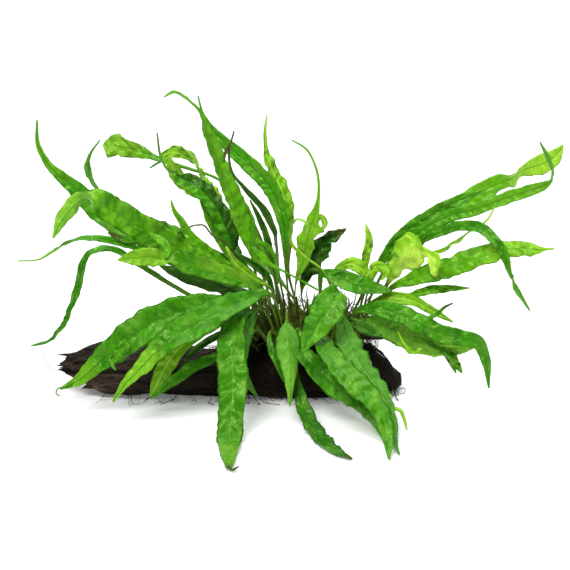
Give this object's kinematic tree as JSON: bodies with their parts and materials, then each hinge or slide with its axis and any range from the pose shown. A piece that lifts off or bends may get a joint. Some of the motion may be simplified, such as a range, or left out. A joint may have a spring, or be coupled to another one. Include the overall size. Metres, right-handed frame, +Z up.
{
  "type": "java fern on driftwood",
  "caption": "Java fern with narrow, wavy leaves fanning out from a creeping rhizome rooted on a dark driftwood log, for dressing an aquarium or a plant display.",
  "frame": {"origin": "middle of the log's flat underside, on the surface it rests on", "axes": "+X along the log towards the end where the roots are, +Y away from the front view, +Z up"},
  "size_m": [0.2671, 0.1807, 0.1538],
  "materials": {
    "leaf_fresh": "fresh green leaf, soft gloss",
    "leaf_deep": "deep green leaf, soft gloss",
    "leaf_dark": "old dark green leaf, soft gloss",
    "leaf_pale": "young pale yellow-green leaf, soft gloss",
    "rhizome_bark": "rough olive rhizome",
    "root_fibre": "matted black roots",
    "driftwood_bark": "waterlogged dark brown wood"
  },
  "bodies": {
    "root": {"driftwood": "driftwood_bark", "root_mat": "root_fibre", "rhizome_middle": "rhizome_bark", "rhizome_front": "rhizome_bark", "rhizome_back": "rhizome_bark", "leaf_left_1": "leaf_deep", "leaf_left_2": "leaf_fresh", "leaf_left_3": "leaf_deep", "leaf_left_4": "leaf_fresh", "leaf_left_5": "leaf_deep", "leaf_left_6": "leaf_deep", "leaf_left_7": "leaf_dark", "leaf_left_8": "leaf_fresh", "leaf_left_9": "leaf_pale", "leaf_low_left_1": "leaf_deep", "leaf_low_left_2": "leaf_deep", "leaf_low_left_3": "leaf_pale", "leaf_low_left_4": "leaf_dark", "leaf_low_left_5": "leaf_deep", "leaf_top_1": "leaf_fresh", "leaf_top_2": "leaf_deep", "leaf_top_3": "leaf_fresh", "leaf_top_4": "leaf_pale", "leaf_top_5": "leaf_pale", "leaf_top_6": "leaf_fresh", "leaf_top_7": "leaf_deep", "leaf_top_8": "leaf_dark", "leaf_top_9": "leaf_dark", "leaf_top_10": "leaf_pale", "leaf_top_11": "leaf_fresh", "leaf_top_12": "leaf_pale", "leaf_top_13": "leaf_dark", "leaf_front_1": "leaf_fresh", "leaf_front_2": "leaf_deep", "leaf_front_3": "leaf_fresh", "leaf_front_4": "leaf_deep", "leaf_front_5": "leaf_deep", "leaf_front_6": "leaf_deep", "leaf_front_7": "leaf_deep", "leaf_front_8": "leaf_fresh", "leaf_front_9": "leaf_deep", "leaf_right_1": "leaf_pale", "leaf_right_2": "leaf_pale", "leaf_right_3": "leaf_pale", "leaf_right_4": "leaf_fresh", "leaf_right_5": "leaf_deep", "leaf_right_6": "leaf_deep", "leaf_right_7": "leaf_deep", "leaf_right_8": "leaf_fresh", "leaf_right_9": "leaf_fresh", "leaf_right_10": "leaf_pale", "leaf_right_11": "leaf_deep", "leaf_right_12": "leaf_fresh", "leaf_right_13": "leaf_deep", "leaf_back_1": "leaf_deep", "leaf_back_2": "leaf_fresh", "leaf_back_3": "leaf_deep", "leaf_back_4": "leaf_deep", "leaf_back_5": "leaf_deep"}
  },
  "joints": []
}
